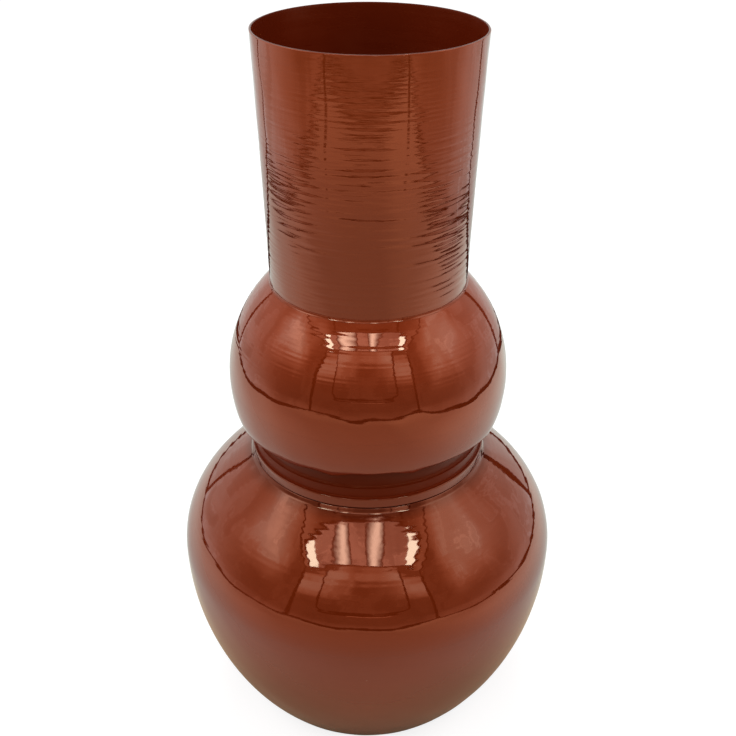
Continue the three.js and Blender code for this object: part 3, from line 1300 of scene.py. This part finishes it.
@dataclass(frozen=True)
class Floor:
    """A white floor: the camera sees it lifted to white, and reflections see it lit at the sides.

    What reflections see glows more away from the foot, and most far off, on the right and at both
    sides behind. Runs are in millimetres, from the foot or along X or Y.
    """

    name: str = "floor_white"
    bounce: float = 0.5
    lifted: float = 0.3
    lift: Pair = (0.8, 1.0)
    lift_run: Pair = (200.0, 700.0)
    foot_run: Pair = (70.0, 150.0)
    open_glow: float = 0.44
    open_run: Pair = (55.0, 140.0)
    far_glow: float = 0.3
    far_run: Pair = (520.0, 750.0)
    right_glow: float = 0.25
    right_run: Pair = (100.0, 300.0)
    behind_glow: float = 0.42
    behind_run: Pair = (-320.0, -40.0)
    beside_run: Pair = (100.0, 340.0)

    def material(self) -> Material:
        """Builds the material.

        Returns:
            The material.
        """
        made, wires = new_material(self.name)
        rays = wires.node("ShaderNodeLightPath").outputs
        place = wires.place()
        away = wires.node("ShaderNodeVectorMath", {0: place}, operation="LENGTH").outputs["Value"]
        # Painted bounce light from the vase: browner and warmer close to the foot, plain further out
        open_share = wires.run(away, self.foot_run)
        lit = wires.node("ShaderNodeBsdfDiffuse", {"Color": wires.blend(open_share, FOOT_BOUNCE_TINT, OPEN_FLOOR)})
        glow = wires.node("ShaderNodeEmission", {"Color": wires.blend(open_share, FLOOR_WARM, FLOOR_WHITE),
                                                 "Strength": self._glow(wires, place, away)})
        lift = wires.node("ShaderNodeEmission", {"Strength": wires.run(away, self.lift_run, *self.lift)})
        bounce, dull = (wires.node("ShaderNodeBsdfDiffuse", {"Color": (grey, grey, grey, 1.0)}).outputs[0]
                        for grey in (self.bounce, self.lifted))
        mirrored, shown = (wires.node("ShaderNodeAddShader", {0: first, 1: second}).outputs[0]
                           for first, second in ((lit.outputs[0], glow.outputs[0]), (dull, lift.outputs[0])))
        seen = wires.math("MAXIMUM", rays["Is Camera Ray"], rays["Is Transmission Ray"])
        unseen = wires.node("ShaderNodeMixShader", {0: rays["Is Glossy Ray"], 1: bounce, 2: mirrored})
        mix = wires.node("ShaderNodeMixShader", {0: seen, 1: unseen.outputs[0], 2: shown})
        made.cycles.emission_sampling = "NONE"
        wires.surface(mix.outputs[0])
        return made

    def _glow(self, wires: Wiring, place: NodeSocket, away: NodeSocket) -> NodeSocket:
        """What reflections see on top of the lit floor.

        Args:
            wires: The floor's wiring.
            place: The place on the floor.
            away: The distance from the vase's foot.

        Returns:
            The strength of the glow.
        """
        x, y, _ = wires.axes(place)
        open_floor = wires.run(away, self.open_run, 0.0, self.open_glow)
        beside = wires.run(wires.math("ABSOLUTE", x), self.beside_run)
        behind = wires.run(y, self.behind_run, 0.0, self.behind_glow)
        glow = wires.math("MULTIPLY_ADD", beside, behind, open_floor)
        glow = wires.math("ADD", glow, wires.run(away, self.far_run, 0.0, self.far_glow))
        return wires.math("ADD", glow, wires.run(x, self.right_run, 0.0, self.right_glow))


def panel(name: str, corners: list[Triple], finish: Material, rays: Rays = Rays.REFLECTED) -> None:
    """A flat stage panel.

    Args:
        name: The panel's name.
        corners: Its corners in millimetres, in order round it.
        finish: Its material.
        rays: Which rays meet it.
    """
    mesh = bpy.data.meshes.new(name)
    mesh.from_pydata([Vector(corner) * MM for corner in corners], [], [tuple(range(len(corners)))])
    mesh.materials.append(finish)
    made = bpy.data.objects.new(name, mesh)
    bpy.context.scene.collection.objects.link(made)
    if rays is Rays.REFLECTED:
        made.visible_camera = False
        made.visible_diffuse = False
        made.visible_shadow = False
        made.visible_transmission = False


def strip(name: str, start: Triple, end: Triple, width: float, finish: Material,
          inset: float = 6.0) -> None:
    """A strip of tape along a seam, turned towards the vase and held a little inside the cloth.

    Args:
        name: The strip's name.
        start: Its first end in millimetres.
        end: Its last end in millimetres.
        width: Its width in millimetres.
        finish: Its material.
        inset: How far it lies inside the seam.
    """
    first, last = Vector(start), Vector(end)
    toward = VASE_MIDDLE - (first + last) / 2
    along = (last - first).normalized()
    toward = (toward - toward.dot(along) * along).normalized()
    across = along.cross(toward) * width / 2
    corners = [first - across, last - across, last + across, first + across]
    panel(name, [tuple(corner + toward * inset) for corner in corners], finish)


@dataclass
class LightTent:
    """A white cloth tent round the vase, which only its reflections show.

    Corners are (x, y) in millimetres. Dark tape runs along the foot and the roof, dark posts stand
    in the corners, and a stay slants from each front corner towards the vase. A board with four
    bars of lamps hangs under the roof, and a window is cut in the front wall.
    """

    left_front: Pair = (-625.0, -690.0)
    right_front: Pair = (560.0, -745.0)
    right_back: Pair = (455.0, 370.0)
    left_back: Pair = (-530.0, 430.0)
    roof: float = 820.0
    front_tape: float = 30.0
    side_tape: float = 23.0
    front_post: float = 36.0
    back_post: float = 30.0
    post_gap: float = 2.0
    stay_reach: float = 0.59
    stay_height: float = 61.0
    stay_width: float = 26.0
    bars: tuple[Pair, ...] = ((-545.0, -448.0), (-318.0, -152.0), (8.0, 138.0), (358.0, 440.0))
    bright: float = 20.0
    soft: float = 11.5
    bar_back: float = -440.0
    bar_front: float = -662.0
    board: float = 30.0
    board_drop: float = 2.0
    tray: float = 8.0
    tray_drop: float = 4.0
    bar_drop: float = 6.0
    strap_side: float = 308.0
    strap_ends: Pair = (-380.0, -120.0)
    valance: float = 75.0
    valance_gap: float = 16.0
    window_sides: Pair = (-335.0, 265.0)
    window_foot: float = 222.0
    window_top: float = 770.0
    window_round: float = 60.0
    window_line: float = 19.0
    window_gap: float = 10.0
    all_along: Pair = (-900.0, -800.0)
    sill_shares: Pair = (0.4, 0.62)
    sill_drop: float = 8.0
    sill_width: float = 11.0

    def build(self) -> None:
        """Builds walls, roof, seams, lamps and window."""
        cloths = (
            Glow("tent_front_cloth", 0.3, patch=1.7, patch_up=(330.0, 560.0), foot_rise=0.25,
                 patch_front=self.all_along, creases=0.12),
            Glow("tent_right_cloth", 0.34, back_rise=0.62, patch=2.1, patch_up=(150.0, 440.0),
                 foot_rise=0.3, creases=0.2),
            Glow("tent_back_cloth", 1.0, creases=0.1),
            Glow("tent_left_cloth", 0.34, back_rise=0.6, patch=2.7, foot_rise=0.3, creases=0.2))
        dark = Glow("tent_seam_tape", 0.02).material()
        names = ("front", "right", "back", "left")
        plan = (self.left_front, self.right_front, self.right_back, self.left_back)
        tapes = (self.front_tape, self.side_tape, self.side_tape, self.side_tape)
        for name, start, end, cloth, tape in zip(names, plan, plan[1:] + plan[:1], cloths, tapes):
            low, high = tape / 2, self.roof - tape / 2
            panel(f"tent_{name}", [(*start, 0.0), (*end, 0.0), (*end, self.roof), (*start, self.roof)],
                  cloth.material())
            strip(f"tent_{name}_foot_tape", (*start, low), (*end, low), tape, dark)
            strip(f"tent_{name}_roof_tape", (*start, high), (*end, high), tape, dark)
            post = self.front_post if start[1] < 0.0 else self.back_post
            strip(f"tent_{name}_post_tape", (*start, 0.0), (*start, self.roof), post, dark,
                  post / 2 + self.post_gap)
        panel("tent_roof", [(*corner, self.roof) for corner in plan[::-1]],
              Glow("tent_roof_cloth", 0.33, beside_rise=0.9, creases=0.2).material())
        for name, (x, y), strap in (("left", self.left_front, -self.strap_side),
                                    ("right", self.right_front, self.strap_side)):
            strip(f"tent_{name}_corner_stay", (x, y, 0.0),
                  (x * self.stay_reach, y * self.stay_reach, self.stay_height), self.stay_width, dark)
            first, last = ((strap, end, self.roof) for end in self.strap_ends)
            strip(f"tent_{name}_roof_strap", first, last, self.front_tape, dark)
        self._lamps(dark)
        self._window(dark)
        self._valance()

    def _lamps(self, dark: Material) -> None:
        """The lamp board: a dark edge, a lit tray and four bars, the outer two brighter.

        Args:
            dark: The dark edge's material.
        """
        left, right = self.bars[0][0], self.bars[-1][1]
        tray = Glow("lamp_tray", 1.8, creases=0.3, colour=TRAY_WHITE, lit=TRAY_WHITE).material()
        for name, margin, drop, finish in (("board", self.board, self.board_drop, dark),
                                           ("tray", self.tray, self.tray_drop, tray)):
            self._board(f"tent_lamp_{name}", left - margin, right + margin, margin, drop, finish)
        for index, (low, high) in enumerate(self.bars):
            if index in (0, len(self.bars) - 1):
                lamp = Glow(f"lamp_bar_{index}", self.bright, colour=BRIGHT_LAMP)
            else:
                lamp = Glow(f"lamp_bar_{index}", self.soft, middle=(low + high) / 2,
                            soft_half=(high - low) / 2, colour=SOFT_LAMP)
            self._board(f"tent_lamp_bar_{index}", low, high, 0.0, self.bar_drop, lamp.material())

    def _board(self, name: str, low: float, high: float, margin: float, drop: float,
               finish: Material) -> None:
        """A level panel under the roof between two x values, a margin longer than the bars.

        Args:
            name: The panel's name.
            low: Its left side.
            high: Its right side.
            margin: How far it reaches past the bars in front and behind.
            drop: How far it hangs below the roof.
            finish: Its material.
        """
        z = self.roof - drop
        front, back = self.bar_front - margin, self.bar_back + margin
        panel(name, [(low, front, z), (high, front, z), (high, back, z), (low, back, z)], finish)

    def _valance(self) -> None:
        """The strip of dull cloth along the top of the front wall."""
        left, right = ((x, y + self.valance_gap) for x, y in (self.left_front, self.right_front))
        foot = self.roof - self.valance
        panel("tent_valance", [(*left, foot), (*right, foot), (*right, self.roof), (*left, self.roof)],
              Glow("tent_valance_cloth", 0.32, creases=0.1).material())

    def _window(self, dark: Material) -> None:
        """The window: a dark line round a darker panel with rounded lower corners, and a lit sill.

        Args:
            dark: The line's material.
        """
        left, right = self.window_sides
        y = max(self.left_front[1], self.right_front[1]) + self.window_gap
        foot = self.window_foot + self.window_round
        shade = Glow("tent_window_shade", 0.32, patch=1.2, patch_up=(520.0, 700.0),
                     patch_front=self.all_along, beside_rise=0.9, beside_run=(70.0, 250.0),
                     beside_up=(350.0, 480.0), creases=0.25).material()
        for name, grow, step, finish in (("line", self.window_line, 0.0, dark), ("shade", 0.0, 2.0, shade)):
            radius = self.window_round + grow
            lower_right = arc((right - self.window_round, foot), radius, 0.0, -90.0, 9)
            lower_left = arc((left + self.window_round, foot), radius, -90.0, -180.0, 9)
            top = [(left - grow, self.window_top), (right + grow, self.window_top)]
            outline = np.vstack([lower_right, lower_left, top])
            panel(f"tent_window_{name}", [(x, y + step, z) for x, z in outline], finish)
        sill = self.window_foot - self.window_line - self.sill_drop
        first, last = ((side * share, y, sill) for side, share in zip(self.window_sides, self.sill_shares))
        strip("tent_window_sill", first, last, self.sill_width, Glow("tent_sill_light", 1.3).material())


@dataclass(frozen=True)
class Lamp:
    """A square lamp that faces the middle of the vase, with its place and side in millimetres."""

    name: str
    place: Triple
    side: float
    watts: float
    colour: Triple = (1.0, 0.985, 0.965)

    def build(self) -> None:
        """Hangs the lamp, which neither the camera nor reflections show."""
        data = bpy.data.lights.new(self.name, "AREA")
        data.shape = "SQUARE"
        data.size = self.side * MM
        data.energy = self.watts
        data.color = self.colour
        lamp = bpy.data.objects.new(self.name, data)
        lamp.location = Vector(self.place) * MM
        lamp.rotation_euler = (VASE_MIDDLE - Vector(self.place)).to_track_quat("-Z", "Y").to_euler()
        lamp.visible_glossy = False
        lamp.visible_camera = False
        bpy.context.scene.collection.objects.link(lamp)


@dataclass
class Studio:
    """Floor, daylight, lamps above the front, in the roof and at the walls, and the camera."""

    lens_pixels: float = 1010.0
    frame_pixels: float = 736.0
    pitch: float = 30.775
    roll: float = 0.3
    camera_back: float = 364.2
    camera_height: float = 377.7
    sensor: float = 36.0
    daylight: float = 0.2
    floor_half: float = 3000.0
    floor_gap: float = 0.05
    lamps: tuple[Lamp, ...] = (
        Lamp("soft_key", (-45.0, -556.0, 800.0), 620.0, 3.2),
        Lamp("soft_roof", (0.0, -100.0, 1100.0), 900.0, 1.4),
        Lamp("soft_left", (-570.0, -40.0, 560.0), 420.0, 2.2),
        Lamp("soft_right", (520.0, -40.0, 560.0), 420.0, 1.98),
        Lamp("soft_back", (-30.0, 420.0, 520.0), 420.0, 2.0))

    def build(self) -> None:
        """Builds the studio."""
        self._floor()
        self._world()
        for lamp in self.lamps:
            lamp.build()
        self._camera()
        LightTent().build()

    def _floor(self) -> None:
        """The floor, a square a little below the foot."""
        turns = ((-1, -1), (1, -1), (1, 1), (-1, 1))
        panel("floor", [(x * self.floor_half, y * self.floor_half, -self.floor_gap) for x, y in turns],
              Floor().material(), Rays.ALL)

    def _world(self) -> None:
        """Even daylight, which camera and reflections see as white."""
        world = bpy.data.worlds.new("daylight")
        world.use_nodes = True
        wires = Wiring(world.node_tree)
        rays = wires.node("ShaderNodeLightPath").outputs
        seen = wires.math("MAXIMUM", rays["Is Camera Ray"], rays["Is Glossy Ray"])
        seen = wires.math("MAXIMUM", seen, rays["Is Transmission Ray"])
        light, white = (wires.node("ShaderNodeBackground", {"Color": (1, 1, 1, 1), "Strength": strength})
                        for strength in (self.daylight, 1.0))
        mix = wires.node("ShaderNodeMixShader", {0: seen, 1: light.outputs[0], 2: white.outputs[0]})
        wires.node("ShaderNodeOutputWorld", {"Surface": mix.outputs[0]})
        bpy.context.scene.world = world

    def _camera(self) -> None:
        """The photograph's viewing angle."""
        data = bpy.data.cameras.new("camera")
        data.sensor_width = self.sensor
        data.lens = self.lens_pixels * self.sensor / self.frame_pixels
        data.clip_start = 0.01
        camera = bpy.data.objects.new("camera", data)
        place = Matrix.Translation(Vector((0.0, -self.camera_back, self.camera_height)) * MM)
        turn = Euler((math.radians(90.0 - self.pitch), 0.0, 0.0)).to_matrix().to_4x4()
        camera.matrix_world = place @ turn @ Matrix.Rotation(math.radians(self.roll), 4, "Z")
        bpy.context.scene.collection.objects.link(camera)
        bpy.context.scene.camera = camera


def main() -> None:
    """Builds the vase and the studio."""
    logging.basicConfig(level=logging.INFO, format="%(name)s: %(message)s")
    finishes = Finishes()
    ball = Ball()
    Neck().build(finishes, ball)
    ball.build(finishes)
    Waist().build(finishes)
    Body().build(finishes)
    Base().build(finishes)
    Studio().build()
    bpy.context.scene.view_settings.view_transform = "Standard"


if __name__ == "__main__":
    main()
